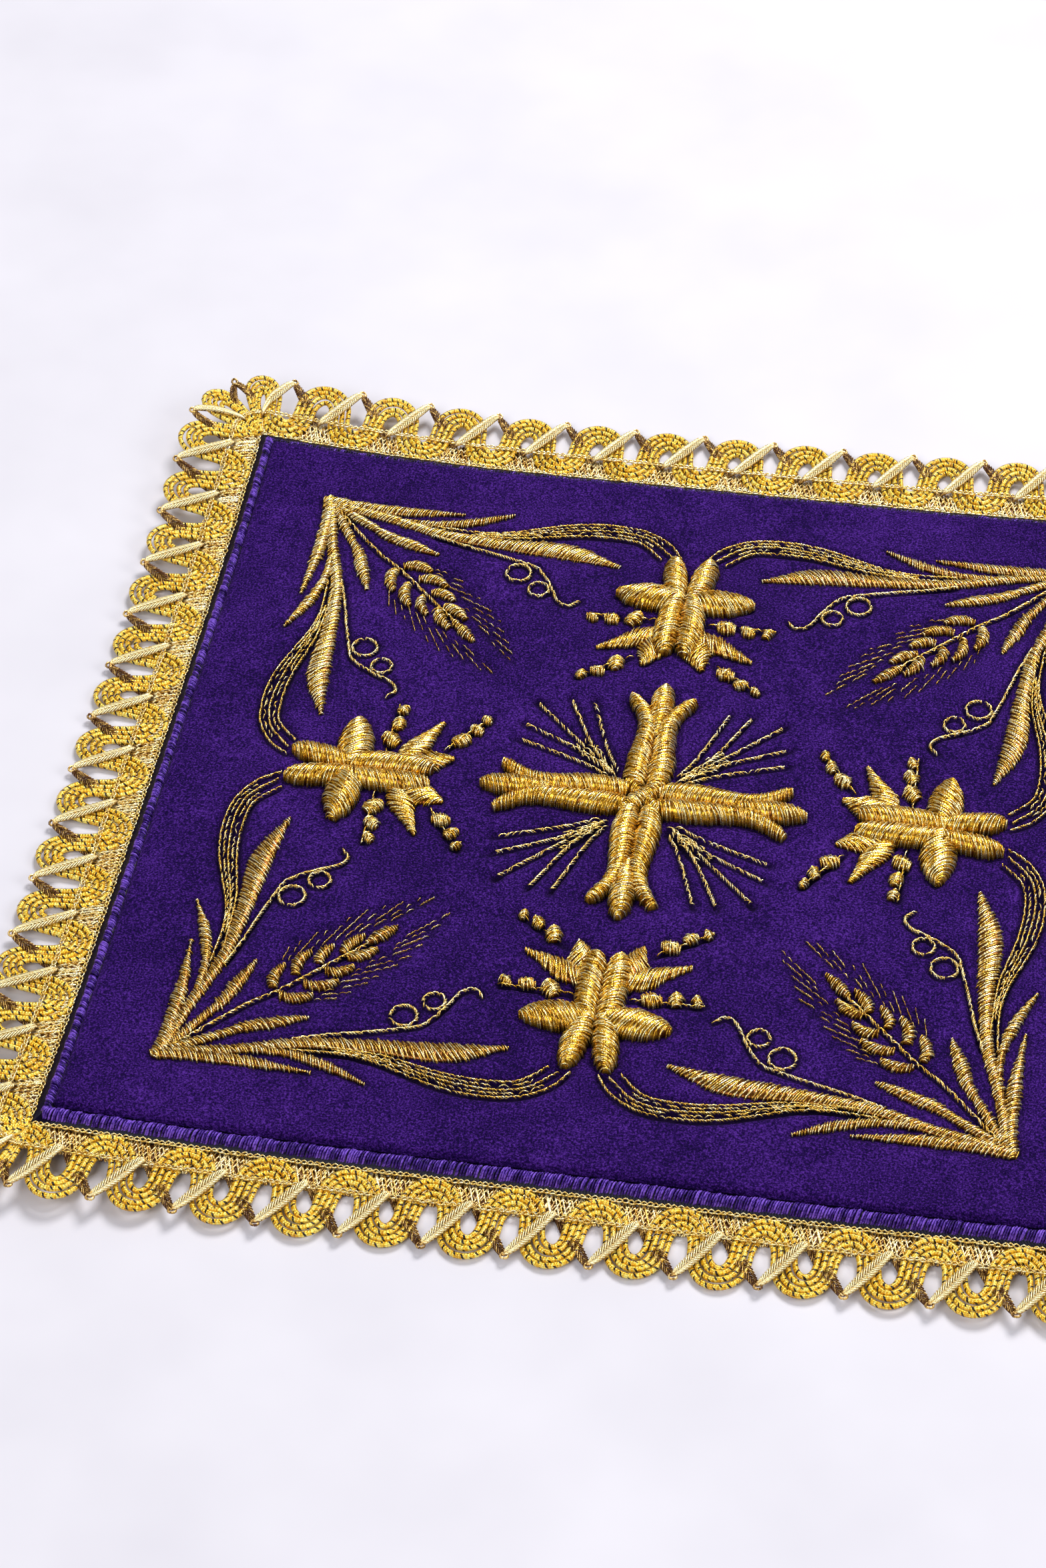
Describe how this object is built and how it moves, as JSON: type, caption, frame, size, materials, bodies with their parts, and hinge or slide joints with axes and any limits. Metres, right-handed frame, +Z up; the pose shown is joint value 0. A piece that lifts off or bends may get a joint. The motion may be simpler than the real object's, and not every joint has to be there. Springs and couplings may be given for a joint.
{
  "type": "embroidered velvet altar pall with metallic lace edging",
  "caption": "Stiff square altar cloth of velvet with raised embroidery, a satin-stitched edge and a scalloped openwork lace border.",
  "frame": {"origin": "centre of the pall's underside, on the surface that it lies on", "axes": "+X to the right along the front edge, +Y towards the back edge, +Z up through the pall's thickness"},
  "size_m": [0.1764, 0.1764, 0.0058],
  "materials": {
    "velvet": "deep violet cotton velvet with a short dense pile and a soft sheen",
    "edge_thread": "bright violet rayon thread in close satin stitch",
    "lace_thread": "bright metallic gold cord, tape and thread, knitted open",
    "embroidery_thread": "metallic gold thread in padded satin stitch"
  },
  "bodies": {
    "root": {"velvet_panel": "velvet", "binding_back": "edge_thread", "binding_right": "edge_thread", "binding_front": "edge_thread", "binding_left": "edge_thread", "lace_back": "lace_thread", "lace_right": "lace_thread", "lace_front": "lace_thread", "lace_left": "lace_thread", "cross": "embroidery_thread", "lily_back": "embroidery_thread", "lily_right": "embroidery_thread", "lily_front": "embroidery_thread", "lily_left": "embroidery_thread", "corner_spray_back_left": "embroidery_thread", "corner_spray_back_right": "embroidery_thread", "corner_spray_front_right": "embroidery_thread", "corner_spray_front_left": "embroidery_thread"}
  },
  "joints": []
}
